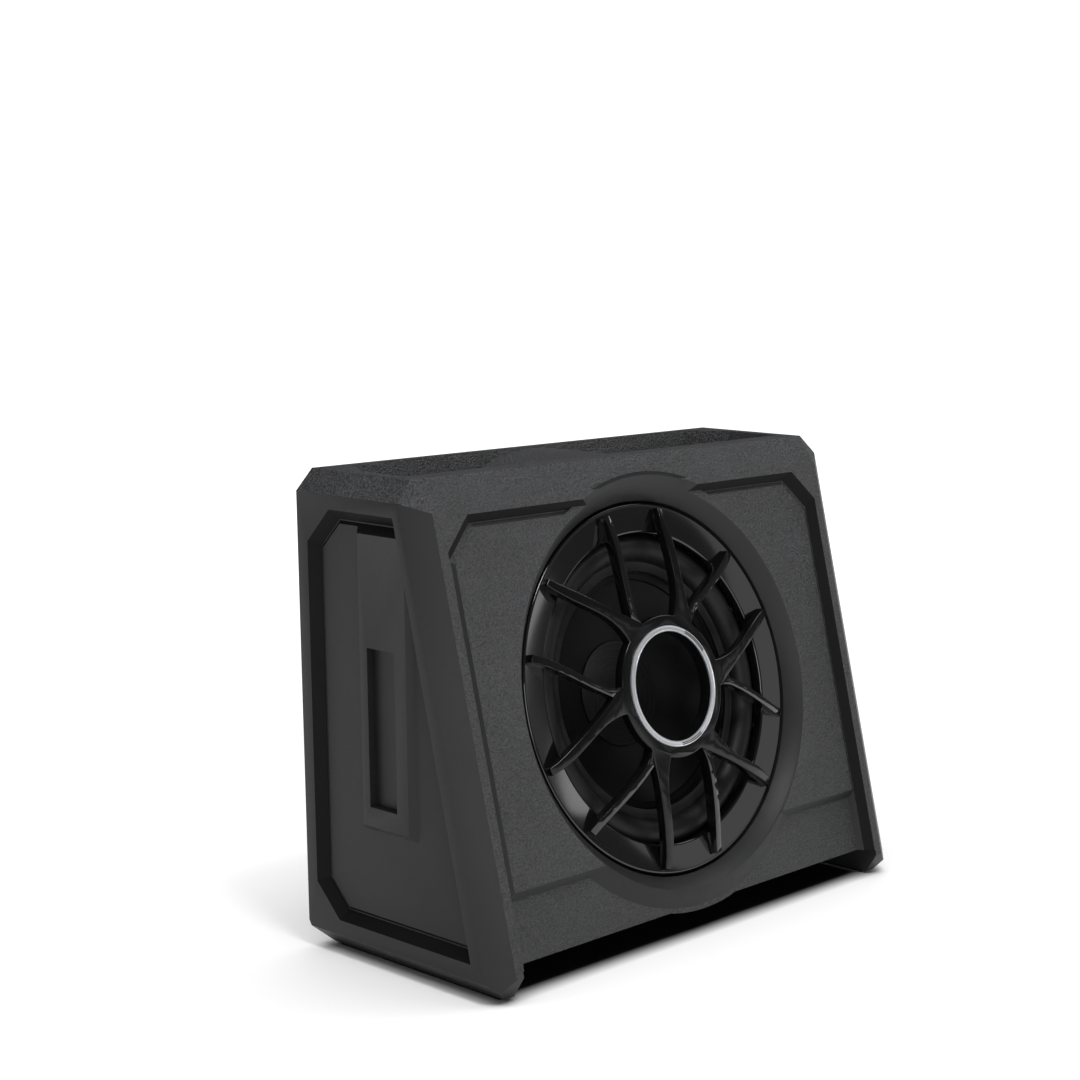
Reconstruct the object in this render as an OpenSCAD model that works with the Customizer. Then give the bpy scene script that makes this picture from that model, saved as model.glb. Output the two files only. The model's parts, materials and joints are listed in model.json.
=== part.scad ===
// Powered car subwoofer: a wedge-shaped moulded enclosure with one 10-inch shallow woofer behind a
// spoked grille, and an amplifier module set into the rear panel.
// Frame: origin at the middle of the footprint on the floor, +X to the right, -Y to the front, +Z up.

/* [Enclosure] */
// Width across the side faces
box_w = 450; // [440:1:470]
// Height of the enclosure
box_h = 350; // [345:1:360]
// Depth of the enclosure at its foot
base_depth = 200; // [198:1:206]
// Depth from the back plane to the front edge of the top face
top_depth = 104.5; // [102:0.5:108]
// Depth from the back plane to the lower edge of the header band
header_depth = 122; // [120:0.5:124]
// Height of the lower edge of the header band
header_z = 329.5; // [326:0.5:331]
// Height of the most forward line of the front rim
toe_z = 18; // [16:0.5:20]
// Setback of the sole behind the most forward line
toe_setback = 11.3; // [9:0.1:13]
// Size of the 45 degree chamfer between the top and side faces
top_chamfer = 14.8; // [12:0.2:18]
// Width of the chamfer between the front and side faces
front_chamfer_w = 17.9; // [15:0.1:20]
// Depth of the chamfer between the front and side faces
front_chamfer_d = 12.6; // [10:0.1:14]
// Height of the sole chamfer on each side face
sole_chamfer_h = 15.5; // [12:0.5:18]
// Width of the sole chamfer on each side face
sole_chamfer_w = 17; // [14:0.5:19]
// General wall thickness
wall = 6; // [5:0.5:7]
// Clear height under the bottom panel, between the two side soles
floor_gap = 22; // [20:0.5:24]

/* [Front and side recesses] */
// Half width of the front recess at rim level
front_recess_x = 199.3; // [196:0.1:201]
// In-plane width of the sloped walls round each recess
recess_draft = 9; // [7:0.5:11]
// Depth of the front panel behind the rim
front_panel_d = 5; // [4:0.5:7]
// Extra depth of the lower front band
lower_band_d = 6; // [4:0.5:7]
// Depth of the side panels
side_panel_d = 6; // [5:0.5:7]
// Depth of the finger pocket below the plateau on each side
pocket_d = 6; // [5:0.5:7]
// Depth of the tray in the top face
tray_d = 16; // [12:0.5:17]

/* [Woofer] */
// Height of the woofer axis where it meets the front rim plane
driver_z = 183.7; // [182:0.1:186]
// Radius of the pod lip round the grille
lip_r = 150.2; // [149:0.1:151]
// Radius of the grille's outer edge
grille_r = 139.2; // [137:0.1:140]
// Depth of the woofer's mounting seat behind the front rim plane
seat_d = 40; // [39:0.5:42]
// Radius of the opening that the basket passes through
cutout_r = 117; // [116:0.5:118]
// Radius of the woofer's mounting bolt circle
bolt_r = 124.5; // [124:0.1:125]
// Outer radius of the cone
cone_r = 96; // [94:0.5:97]
// Radius of the voice coil
coil_r = 25; // [24:0.5:26]
// Largest travel of the cone each way
excursion = 9; // [6:0.5:9.5]

/* [Amplifier] */
// Width of the amplifier plate
amp_w = 316; // [310:1:318]
// Height of the amplifier plate
amp_h = 76; // [74:1:77]
// Height of the middle of the amplifier plate
amp_z = 268; // [267:1:269]

/* [Hidden] */

FINE = 120;
ROUND = 48;
SMALL = 24;
BIG = 600;

// The front face leans back: its plane runs from the toe line up to the header's lower edge.
back_y = base_depth / 2;
front_y = -base_depth / 2;
lean = atan((base_depth - header_depth) / (header_z - toe_z));
plane_y0 = front_y - toe_z * tan(lean);
axis_s = driver_z / cos(lean);
top_front_y = back_y - top_depth;
header_y = back_y - header_depth;
side_x = box_w / 2;

// Local frame of the front rim plane: x across, y up the slope, z outward.
module front_frame() translate([0, plane_y0, 0]) rotate([90 - lean, 0, 0]) children();

// Local frame of the woofer: origin where its axis meets the rim plane, z outward.
module on_axis(depth = 0) front_frame() translate([0, axis_s, -depth]) children();

// Local frame of a side face: x towards the back, y up, z outward from the face.
module side_frame(side) {
    if (side > 0) translate([side_x, 0, 0]) rotate([90, 0, 90]) children();
    else translate([-side_x, 0, 0]) mirror([1, 0, 0]) rotate([90, 0, 90]) children();
}

module tube(r_out, r_in, h, fn = FINE) difference() {
    cylinder(r = r_out, h = h, $fn = fn);
    translate([0, 0, -1]) cylinder(r = r_in, h = h + 2, $fn = fn);
}

// Polar copies about z.
module around(count, radius, first = 0)
    for (i = [0 : count - 1]) rotate([0, 0, first + i * 360 / count]) translate([radius, 0, 0]) children();

// A convex prism with sloped sides, cut from a slab by one plane through each pair of matching edges.
module half_space(point, n) translate(point) rotate([0, acos(n[2]), atan2(n[1], n[0])])
    translate([-BIG, -BIG, -BIG]) cube([2 * BIG, 2 * BIG, BIG]);
module taper(low, high, z_low, z_high) intersection_for(i = [0 : len(low) - 1]) {
    k = (i + 1) % len(low);
    a = [low[i][0], low[i][1], z_low];
    b = [low[k][0], low[k][1], z_low];
    c = [high[i][0], high[i][1], z_high];
    n = cross(b - a, c - a) / norm(cross(b - a, c - a));
    intersection() {
        half_space(a, n);
        translate([-BIG, -BIG, z_low]) cube([2 * BIG, 2 * BIG, z_high - z_low]);
    }
}

// Rectangle with its upper corners cut, open towards the bottom.
function house(half_w, low, high, cut_x, cut_y) = [
    [-half_w, low], [half_w, low], [half_w, high - cut_y], [half_w - cut_x, high],
    [-half_w + cut_x, high], [-half_w, high - cut_y]
];

// Side recess outline at distance inset from its outer edge.
recess_back = back_y - 10.8;
recess_low = 27;
recess_high = 325;
recess_cut = 24.4;
recess_front_high = back_y - 101.8;
recess_front_low = back_y - 173.4;
function side_outline(inset) = let (cut = recess_cut - 0.586 * inset)
    [[recess_front_low + 0.5 * inset + 0.24 * inset, recess_low + inset],
     [recess_back - cut - inset, recess_low + inset],
     [recess_back - inset, recess_low + cut + inset],
     [recess_back - inset, recess_high - cut - inset],
     [recess_back - cut - inset, recess_high - inset],
     [recess_front_high + 0.5 * inset - 0.24 * inset, recess_high - inset]];

// Cuts run this far past the face they start from.
spill = 5;

// Recess with a sloped wall down to a narrow ledge, then a second slope up to the raised panel.
ledge_w = 0.8;
module recess_cutter(mouth, ledge, root, panel, ledge_d, panel_d) difference() {
    taper(ledge, mouth, -ledge_d, spill);
    taper(root, panel, -ledge_d - 1, -panel_d);
}
function root_inset(ledge_in, panel_in, rise) =
    panel_in - (panel_in - ledge_in - ledge_w) * (rise + 1) / rise;

/* Enclosure body */

facet_depth = 0.5;
module facet_cut(side) {
    upper = [side * (side_x - top_chamfer), top_front_y, box_h];
    outer = [side * side_x, back_y - 108.4, box_h - top_chamfer];
    inner = [side * (side_x - front_chamfer_w), header_y, header_z];
    raw = cross(outer - upper, inner - upper);
    n = raw * (raw[2] < 0 ? -1 : 1) / norm(raw);
    translate(upper) rotate([0, acos(n[2]), atan2(n[1], n[0])])
        translate([-60, -60, -facet_depth]) cube([120, 120, 60]);
}

// The pod's rim stands proud of the header where it crosses it.
brow_r = 160.5;
brow_d = 12;
module brow() intersection() {
    on_axis(brow_d) cylinder(r1 = brow_r + 6, r2 = brow_r, h = brow_d - 0.6, $fn = FINE);
    translate([-100, front_y, header_z - 8]) cube([200, base_depth, 60]);
}

module outer_block() difference() {
    intersection() {
        translate([-side_x, 0, 0]) rotate([90, 0, 90]) linear_extrude(box_w) polygon([
            [back_y, 19.5], [back_y, box_h], [top_front_y, box_h], [header_y, header_z],
            [front_y, toe_z], [front_y + toe_setback, 0], [back_y - 12, 0]
        ]);
        translate([0, back_y + 1, 0]) rotate([90, 0, 0]) linear_extrude(base_depth + 2) polygon([
            [-side_x + sole_chamfer_w, 0], [side_x - sole_chamfer_w, 0], [side_x, sole_chamfer_h],
            [side_x, box_h - top_chamfer], [side_x - top_chamfer, box_h],
            [-side_x + top_chamfer, box_h], [-side_x, box_h - top_chamfer], [-side_x, sole_chamfer_h]
        ]);
    }
    for (side = [-1, 1]) {
        front_frame() translate([0, BIG, 0]) rotate([90, 0, 0]) linear_extrude(BIG + 60) polygon([
            [side * (side_x - 1.5 * front_chamfer_w), 0.5 * front_chamfer_d],
            [side * (side_x + 0.5 * front_chamfer_w), -1.5 * front_chamfer_d],
            [side * (side_x + 0.5 * front_chamfer_w), 0.5 * front_chamfer_d]
        ]);
        facet_cut(side);
    }
}

// The round barrel that clears the woofer shows in the tray and below the bottom panel.
barrel_r = 165.5;
barrel_z = 183.2;
module barrel() translate([0, back_y, barrel_z]) rotate([90, 0, 0])
    cylinder(r = barrel_r, h = base_depth + 20, $fn = 180);

// The front recess leaves a flat collar round the pod and drops to the lower band.
band_s = 75;
collar_r = 158;
pod_base_r = 165;
function front_outline(inset, low = -40) = house(front_recess_x - inset, low, 335 - inset, 23.3, 23.5);

module front_recess() {
    ledge_in = 5.5;
    ledge_d = 6.5;
    deep = front_panel_d + lower_band_d;
    difference() {
        recess_cutter(front_outline(-ledge_in * spill / ledge_d), front_outline(ledge_in),
            front_outline(root_inset(ledge_in, recess_draft, ledge_d - front_panel_d)),
            front_outline(recess_draft), ledge_d, front_panel_d);
        translate([0, axis_s, -40]) cylinder(r = collar_r, h = 40 - front_panel_d, $fn = FINE);
    }
    difference() {
        band_x = front_recess_x - ledge_in + 1;
        taper(
            [[-band_x + 4.6, -40], [band_x - 4.6, -40],
             [band_x - 4.6, band_s - 6], [-band_x + 4.6, band_s - 6]],
            [[-band_x, -40], [band_x, -40], [band_x, band_s + 1], [-band_x, band_s + 1]],
            -deep, -front_panel_d + 1);
        translate([0, axis_s, -deep - 1])
            cylinder(r1 = pod_base_r + 2, r2 = lip_r, h = lower_band_d + 1, $fn = FINE);
    }
}

// A raised plateau on each side panel, with a finger pocket in it.
plateau_low = 104;
plateau_high = 311;
plateau_back = back_y - 62.5;
plateau_front = back_y - 110.2;
plateau_rise = 4;
pocket_low = 118;
pocket_high = 232;
pocket_back = back_y - 70;
pocket_front = back_y - 98.5;

module side_recess() {
    difference() {
        ledge_in = 7;
        ledge_d = side_panel_d + 1.5;
        recess_cutter(side_outline(-ledge_in * spill / ledge_d), side_outline(ledge_in),
            side_outline(root_inset(ledge_in, recess_draft + 1, 1.5)), side_outline(recess_draft + 1),
            ledge_d, side_panel_d);
        taper(
            [[plateau_front - 6, plateau_low - 4], [plateau_back + 4, plateau_low - 4],
             [plateau_back + 4, plateau_high + 4], [plateau_front - 6, plateau_high + 4]],
            [[plateau_front, plateau_low], [plateau_back, plateau_low],
             [plateau_back, plateau_high], [plateau_front, plateau_high]],
            -side_panel_d - 0.01, -side_panel_d + plateau_rise);
    }
    top_d = side_panel_d - plateau_rise;
    translate([pocket_front, pocket_low, -top_d - pocket_d])
        cube([pocket_back - pocket_front, pocket_high - pocket_low, pocket_d + 5]);
}

// Tray in the top face, with sloped walls and cut rear corners.
tray_x = 200;
tray_front = top_front_y + 17;
tray_back = back_y - 7;
module tray_cut() {
    slope = 4;
    function outline(inset) = [
        [-tray_x + inset, tray_front + inset], [tray_x - inset, tray_front + inset],
        [tray_x - inset, tray_back - 31], [tray_x - 21, tray_back - inset],
        [-tray_x + 21, tray_back - inset], [-tray_x + inset, tray_back - 31]
    ];
    taper(outline(slope), outline(-slope * spill / tray_d), box_h - tray_d, box_h + spill);
}

// Hollow for the works, open at the back.
pocket_room = 6;
cavity_x = side_x - side_panel_d - pocket_room - wall;
cavity_low = floor_gap + wall;
cavity_high = box_h - tray_d - wall;
cavity_back = back_y - 8;
cavity_skin = front_panel_d + lower_band_d + wall;
module cavity() intersection() {
    translate([-cavity_x, front_y, cavity_low])
        cube([2 * cavity_x, cavity_back - front_y + 1, cavity_high - cavity_low]);
    front_frame() translate([-BIG / 2, -50, -BIG / 2 - cavity_skin]) cube([BIG, BIG, BIG / 2]);
}

// The baffle cup carries the woofer's seat.
cup_wall = 6;
cup_r = 141;
baffle_t = 12;
funnel_d = 16.2;
lip_d = 6.1;
module baffle_cup() on_axis(seat_d + baffle_t)
    cylinder(r = cup_r + cup_wall, h = seat_d + baffle_t - lip_d - 4, $fn = FINE);

panel_x = cavity_x + 4;
panel_low = cavity_low - 3;
panel_high = cavity_high + 3;
panel_t = 6;
boss_points = concat(
    [for (x = [-185, -62, 62, 185]) [x, cavity_low + 7]],
    [for (x = [-cavity_x + 7, cavity_x - 7], z = [120, 215, cavity_high - 7]) [x, z]]
);
insert_points = [for (x = [-150, 150], y = [-60, 60]) [x, y]];
insert_r = 5;
insert_h = 12;

module enclosure() color("#3a3b3d") difference() {
    union() {
        difference() {
            union() {
                outer_block();
                brow();
            }
            front_frame() front_recess();
            for (side = [-1, 1]) side_frame(side) side_recess();
            difference() {
                tray_cut();
                barrel();
            }
            difference() {
                translate([-front_recess_x - 1, front_y - 30, -1])
                    cube([2 * front_recess_x + 2, base_depth + 60, floor_gap + 1]);
                barrel();
            }
            cavity();
        }
        intersection() {
            baffle_cup();
            outer_block();
        }
        for (p = boss_points) translate([p[0], cavity_back, p[1]]) rotate([90, 0, 0])
            cylinder(r = 7.5, h = 24, $fn = SMALL);
        for (p = insert_points) translate([p[0], p[1], cavity_low - 1]) cylinder(r = 9, h = 9, $fn = ROUND);
    }
    // Funnel, cup and woofer opening.
    on_axis(seat_d) cylinder(r = cup_r, h = seat_d - funnel_d + 0.5, $fn = FINE);
    on_axis(funnel_d) cylinder(r1 = cup_r, r2 = lip_r, h = funnel_d - lip_d, $fn = FINE);
    on_axis(lip_d) cylinder(r1 = lip_r, r2 = lip_r + 16.4, h = 12, $fn = FINE);
    on_axis(seat_d + 40) cylinder(r = cutout_r, h = 60, $fn = FINE);
    // Seat for the rear panel.
    translate([-panel_x, cavity_back, panel_low]) cube([2 * panel_x, 20, panel_high - panel_low]);
    for (p = boss_points) translate([p[0], cavity_back + 1, p[1]]) rotate([90, 0, 0])
        cylinder(r = 1.7, h = 18, $fn = SMALL);
    for (p = insert_points) translate([p[0], p[1], floor_gap - 1])
        cylinder(r = insert_r, h = insert_h + 1, $fn = ROUND);
    on_axis(seat_d + 10) around(8, bolt_r, 22.5) cylinder(r = 2.2, h = 12, $fn = SMALL);
    on_axis(seat_d + 8) around(6, clip_r) cylinder(r = 2.5, h = 10, $fn = SMALL);
    sole_strips(-1);
    translate([-BIG / 2, -BIG / 2, -1]) cube([BIG, BIG, 1 + sole_lift]);
}

module mounting_inserts() color("#b08d4a")
    for (p = insert_points) translate([p[0], p[1], floor_gap + 0.4])
        tube(insert_r, 2.5, insert_h - 0.6, ROUND);

// Rubber strips let into the soles, standing proud of them.
sole_lift = 2;
pad_x = 205;
pad_w = 7;
pad_l = 168;
pad_t = 4;
module sole_strips(low) for (side = [-1, 1])
    translate([side * pad_x - pad_w / 2, -pad_l / 2, low]) cube([pad_w, pad_l, pad_t - low]);
module sole_pads() color("#1b1b1c") sole_strips(0);

/* Rear panel */

bay_w = amp_w + 6;
bay_h = amp_h + 6;
bay_d = 22;
bay_wall = 3;
bay_rim = 12;
module rear_panel() color("#2b2c2e") difference() {
    union() {
        translate([-panel_x + 0.5, back_y - panel_t, panel_low + 0.5])
            cube([2 * panel_x - 1, panel_t, panel_high - panel_low - 1]);
        translate([-bay_w / 2 - bay_wall, back_y - bay_d - bay_wall, amp_z - bay_h / 2 - bay_wall])
            cube([bay_w + 2 * bay_wall, bay_d + bay_wall, bay_h + 2 * bay_wall]);
    }
    translate([-bay_w / 2, back_y - bay_d, amp_z - bay_h / 2]) cube([bay_w, bay_d + 5, bay_h]);
    translate([-amp_w / 2 + bay_rim, back_y - bay_d - 10, amp_z - amp_h / 2 + bay_rim])
        cube([amp_w - 2 * bay_rim, 20, amp_h - 2 * bay_rim]);
    for (p = boss_points) translate([p[0], back_y + 1, p[1]]) rotate([90, 0, 0]) {
        cylinder(r = 2.3, h = 12, $fn = SMALL);
        cylinder(r = 4.6, h = 3.6, $fn = SMALL);
    }
    for (p = amp_screw_points) translate([p[0], back_y - bay_d + 1, p[1]]) rotate([90, 0, 0])
        cylinder(r = 1.4, h = 8, $fn = SMALL);
}

module rear_panel_gasket() color("#161616") difference() {
    translate([-panel_x + 0.5, cavity_back, panel_low + 0.5])
        cube([2 * panel_x - 1, 2, panel_high - panel_low - 1]);
    translate([-cavity_x + 2, cavity_back - 1, cavity_low + 1])
        cube([2 * cavity_x - 4, 4, cavity_high - cavity_low - 2]);
    for (p = boss_points) translate([p[0], cavity_back + 3, p[1]]) rotate([90, 0, 0])
        cylinder(r = 2.3, h = 4, $fn = SMALL);
}

// Pan head screw standing with its head's underside at z = 0 and its shank downwards.
module pan_screw(shank_r, length, head_r, head_h) difference() {
    union() {
        translate([0, 0, -length]) cylinder(r = shank_r, h = length + 0.1, $fn = SMALL);
        cylinder(r = head_r, h = head_h, $fn = SMALL);
    }
    translate([0, 0, head_h / 2]) cylinder(r = head_r * 0.45, h = head_h, $fn = 6);
}

module rear_panel_screws() color("#4a4a4c")
    for (p = boss_points) translate([p[0], back_y - 2.6, p[1]]) rotate([-90, 0, 0])
        pan_screw(1.9, 18, 4, 2.4);

wadding_t = 40;
module acoustic_wadding() color("#d9d5c8")
    for (side = [-1, 1]) translate([side * (cavity_x - wadding_t / 2) - wadding_t / 2, -25, 60])
        cube([wadding_t, 85, 150]);

/* Woofer, drawn in its own axis frame: z = 0 at the rim plane, inward is negative */

gasket_t = 2;
flange_t = 4;
flange_z = -seat_d + gasket_t + flange_t;
flange_r = 131;
cone_edge_z = flange_z - 1;
neck_z = cone_edge_z - 33;
spider_z = -82;
gap_top = -92;
plate_t = 8;
magnet_z = gap_top - plate_t;
coil_room = 9;
magnet_t = excursion + coil_room;
pole_z = magnet_z - magnet_t;

module driver_gasket() color("#151515") on_axis(seat_d) difference() {
    tube(flange_r, cutout_r + 1, gasket_t);
    translate([0, 0, -1]) around(8, bolt_r, 22.5) cylinder(r = 2.8, h = 5, $fn = SMALL);
}

module basket() color("#26272a") on_axis() difference() {
    union() {
        translate([0, 0, flange_z - flange_t]) tube(flange_r, cutout_r - 2, flange_t);
        // Rim below the flange, spider shelf and rear ring as one turned profile each.
        rotate_extrude($fn = FINE) polygon([
            [cutout_r - 1, flange_z - 1], [cutout_r - 1, flange_z - 16], [cutout_r - 5, flange_z - 16],
            [cutout_r - 5, flange_z - 5], [cutout_r - 3, flange_z - 3], [cutout_r - 3, flange_z - 1]
        ]);
        rotate_extrude($fn = FINE) polygon([
            [64, spider_z - 2], [74, spider_z - 2], [78, spider_z + 4],
            [75, spider_z + 4], [72, spider_z + 1], [64, spider_z + 1]
        ]);
        translate([0, 0, gap_top]) tube(60, 45, 4);
        for (i = [0 : 5]) rotate([0, 0, i * 60 + 30]) rotate([90, 0, 0]) translate([0, 0, -9])
            linear_extrude(18) polygon([
                [cutout_r - 1.5, flange_z - 4], [cutout_r - 1.5, flange_z - 18], [78, spider_z - 2],
                [60, gap_top], [48, gap_top], [48, gap_top + 4], [64, spider_z - 2], [72, spider_z - 2],
                [74, spider_z + 2], [cutout_r - 5.5, flange_z - 16], [cutout_r - 5.5, flange_z - 4]
            ]);
    }
    translate([0, 0, flange_z - 10]) around(8, bolt_r, 22.5) cylinder(r = 2.6, h = 20, $fn = SMALL);
    translate([0, 0, flange_z - 1.4]) tube(121.5, cutout_r - 6, 5);
}

module driver_screws() color("#8b8d90") on_axis() translate([0, 0, flange_z])
    around(8, bolt_r, 22.5) pan_screw(2.1, 13, 3.3, 2.6);

module top_plate() color("#8f9296") on_axis() translate([0, 0, gap_top - plate_t])
    tube(60, coil_r + 1.6, plate_t);
module magnet() color("#2d2d2f") on_axis() translate([0, 0, magnet_z - magnet_t]) tube(65, 34, magnet_t);
module pole_plate() color("#85888c") on_axis() difference() {
    union() {
        translate([0, 0, pole_z - 7]) cylinder(r = 60, h = 7, $fn = FINE);
        translate([0, 0, pole_z - 1]) cylinder(r = coil_r - 1.6, h = gap_top - pole_z + 1, $fn = FINE);
    }
    translate([0, 0, pole_z - 10]) cylinder(r = 8, h = 60, $fn = ROUND);
}
module magnet_boot() color("#141415") on_axis() difference() {
    translate([0, 0, pole_z - 9]) cylinder(r = 68, h = magnet_t + 11, $fn = FINE);
    translate([0, 0, pole_z - 7]) cylinder(r = 65.05, h = 40, $fn = FINE);
    translate([0, 0, pole_z - 20]) cylinder(r = 30, h = 40, $fn = FINE);
}

coil_low = gap_top - excursion - 4;
module coil_former() color("#c9a45a") on_axis() translate([0, 0, coil_low - 1])
    tube(coil_r, coil_r - 0.6, neck_z + 2 - coil_low);
winding_h = 13;
module voice_coil() color("#b06a36") on_axis() translate([0, 0, gap_top - (plate_t + winding_h) / 2])
    tube(coil_r + 0.9, coil_r, winding_h);

// Corrugated spider as one turned ring.
module spider() {
    waves = 4;
    steps = 40;
    inner = coil_r + 0.05;
    outer = 70;
    function across(i) = inner + (outer - inner) * i / steps;
    function wave(i) = spider_z + 2.7 + 1.6 * sin(360 * waves * i / steps);
    color("#c2a15c") on_axis() rotate_extrude($fn = FINE) polygon(concat(
        [for (i = [0 : steps]) [across(i), wave(i)]],
        [for (i = [steps : -1 : 0]) [across(i), wave(i) + 0.6]]
    ));
}

// Cone wall as a gently curved turned profile.
cone_t = 1.6;
neck_r = coil_r + 0.05;
function cone_rise(r) = let (t = (r - neck_r) / (cone_r - neck_r))
    neck_z + (cone_edge_z - neck_z) * (0.85 + 0.15 * t) * t;
module cone() {
    steps = 8;
    function across(i) = neck_r + (cone_r - neck_r) * i / steps;
    color("#1c1c1e") on_axis() rotate_extrude($fn = FINE) polygon(concat(
        [for (i = [0 : steps]) [across(i), cone_rise(across(i))]],
        [for (i = [steps : -1 : 0]) [across(i), cone_rise(across(i)) + cone_t]]
    ));
}

// Half roll surround with flat landings on the cone edge and the basket flange.
surround_in = cone_r - 2;
surround_out = 120;
module surround() color("#101011") on_axis() {
    r_roll = 10.5;
    t = 1.1;
    base = flange_z - 0.2;
    steps = 16;
    mid = (surround_in + surround_out) / 2 + 0.5;
    rotate_extrude($fn = FINE) polygon(concat(
        [[surround_in - 4, cone_edge_z + 1.65], [surround_in - 4, cone_edge_z + 2.6]],
        [[mid - r_roll, base + 1]],
        [for (i = [1 : steps - 1]) let (a = 180 - i * 180 / steps)
            [mid + r_roll * cos(a), base + 1 + r_roll * sin(a)]],
        [[mid + r_roll, base + 1], [surround_out + 1, base + 1], [surround_out + 1, base - 1.2]],
        [[mid + r_roll - t, base - 1.2]],
        [for (i = [1 : steps - 1]) let (a = i * 180 / steps)
            [mid + (r_roll - t) * cos(a), base + 1 + (r_roll - t) * sin(a)]],
        [[mid - r_roll + t, cone_edge_z + 1.65]]
    ));
}

module dust_cap() {
    cap_r = 40;
    sag = 5;
    steps = 8;
    edge_z = cone_rise(cap_r) + cone_t + 0.05;
    function dish(i) = edge_z - sag * (1 - pow(i / steps, 2));
    color("#141416") on_axis() rotate_extrude($fn = FINE) polygon(concat(
        [for (i = [0 : steps]) [cap_r * i / steps, dish(i)]],
        [for (i = [steps : -1 : 0]) [cap_r * i / steps, dish(i) + 0.9]]
    ));
}

module driver_terminals() color("#c8a24a") on_axis() for (a = [-16, 16]) rotate([0, 0, 90 + a])
    translate([75.4, -3, spider_z + 4]) cube([2.2, 6, 12]);

/* Grille */

dome_hub = -3.2;
dome_drop = 7.6;
hub_r = 47.2;
web_r = 53.5;
ring_in = 117;
bore_r = 41;
tip_angle = 17.5;
blade_angle = 42.4;
dome_r0 = 50;
dome_r1 = 132;
arm_end = 136;
function dome(r) = dome_hub - dome_drop * pow(max(0, (r - dome_r0) / (dome_r1 - dome_r0)), 3);

// Shell of revolution between the domed face and a parallel face below it.
module dome_shell(r0, r1, lift, thick) {
    steps = 10;
    function rr(i) = r0 + (r1 - r0) * i / steps;
    rotate_extrude($fn = FINE) polygon(concat(
        [for (i = [0 : steps]) [rr(i), dome(rr(i)) + lift]],
        [for (i = [steps : -1 : 0]) [rr(i), dome(rr(i)) + lift - thick]]
    ));
}

// A curved spoke seen along the axis: centre angle and half width change with the radius.
function arm_angle(r) = tip_angle - 15.3 * pow((arm_end - r) / 84, 1.75);
function arm_half(r) = 4.2 - 1.2 * max(0, (r - 114) / 22) + 9 * pow(max(0, (88 - r) / 42), 2);
function blade_turn(r) = blade_angle + 17 * pow((arm_end - r) / 84, 1.75);
function blade_half(r) = 2.8 + 4 * pow(max(0, (68 - r) / 16), 2);
function polar(r, a) = [r * cos(a), r * sin(a)];
module arm_outline(r0, r1, count = 12) {
    function rr(i) = r0 + (r1 - r0) * i / count;
    function spread(r) = asin(arm_half(r) / r);
    polygon(concat(
        [for (i = [0 : count]) polar(rr(i), arm_angle(rr(i)) + spread(rr(i)))],
        [for (i = [count : -1 : 0]) polar(rr(i), arm_angle(rr(i)) - spread(rr(i)))]
    ));
}
module blade_outline(r0, r1, count = 12) {
    function rr(i) = r0 + (r1 - r0) * i / count;
    function spread(r) = asin(blade_half(r) / r);
    polygon(concat(
        [for (i = [0 : count]) polar(rr(i), blade_turn(rr(i)) + spread(rr(i)))],
        [for (i = [count : -1 : 0]) polar(rr(i), blade_turn(rr(i)) - spread(rr(i)))]
    ));
}

clip_r = 133.6;
module star_solid() {
    intersection() {
        dome_shell(bore_r, arm_end + 1, 0, 8);
        translate([0, 0, -60]) linear_extrude(80) difference() {
            union() {
                circle(r = web_r, $fn = FINE);
                for (i = [0 : 5]) rotate(60 * i) arm_outline(44, arm_end);
            }
            circle(r = bore_r, $fn = FINE);
        }
    }
    translate([0, 0, dome_hub - 11]) tube(bore_r + 4, bore_r, 7);
}
module blades_solid() difference() {
    for (k = [0 : 5]) rotate([0, 0, 60 * k]) intersection() {
        dome_shell(48, arm_end + 1, -0.9, 9);
        translate([0, 0, -60]) linear_extrude(80) blade_outline(52, arm_end - 1.5);
    }
    star_solid();
}

module grille_star() color("#1d1d1f") on_axis() star_solid();
module grille_blades() color("#08080a") on_axis() blades_solid();
module grille_ring() color("#0b0b0c") on_axis() difference() {
    rotate_extrude($fn = FINE) polygon([
        [grille_r, -18], [grille_r - 0.8, -16.6], [grille_r - 2, -16.2], [ring_in + 0.8, -18.3],
        [ring_in, -19.1], [ring_in, -25.5], [ring_in + 2.5, -25.5], [ring_in + 2.5, -20.5],
        [grille_r - 3, -20.5], [grille_r - 3, -seat_d], [grille_r, -seat_d]
    ]);
    star_solid();
    blades_solid();
}

module hub_trim() color("#c9ccd0") on_axis() rotate_extrude($fn = FINE) polygon([
    [bore_r, dome_hub], [bore_r, dome_hub + 1.2], [bore_r + 0.5, dome_hub + 1.6],
    [hub_r - 2.5, dome_hub + 1.6], [hub_r - 2, dome_hub + 1.2], [hub_r - 2, dome_hub]
]);

module grille_clips() color("#2a2a2a") on_axis(seat_d + 7) around(6, clip_r)
    cylinder(r = 2.3, h = 26.5, $fn = SMALL);

/* Amplifier module on the rear */

plate_y = back_y - bay_d + 1.2;
plate_face = plate_y + 3;
amp_screw_points = concat(
    [for (x = [-amp_w / 2 + 6, 0, amp_w / 2 - 6], z = [-1, 1]) [x, amp_z + z * (amp_h / 2 - 6)]],
    [for (x = [-amp_w / 2 + 6, amp_w / 2 - 6]) [x, amp_z]]
);
// Controls along the plate, as seen from the back: x runs to the right in the part's own frame.
knob_z = amp_z + 14;
knob_x = [-120, -92, -64];
rca_x = [-122, -104];
lower_z = amp_z - 18;
switch_x = -36;
socket_x = -78;
jack_x = -50;
led_x = -22;
block_x = 33;
fuse_x = 74;
fin_x = 100;

// Pieces that stand on the plate's outer face, z pointing out of the back.
module on_plate(x, z, lift = 0) translate([x, plate_face + lift, z]) rotate([-90, 0, 0]) children();

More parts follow.
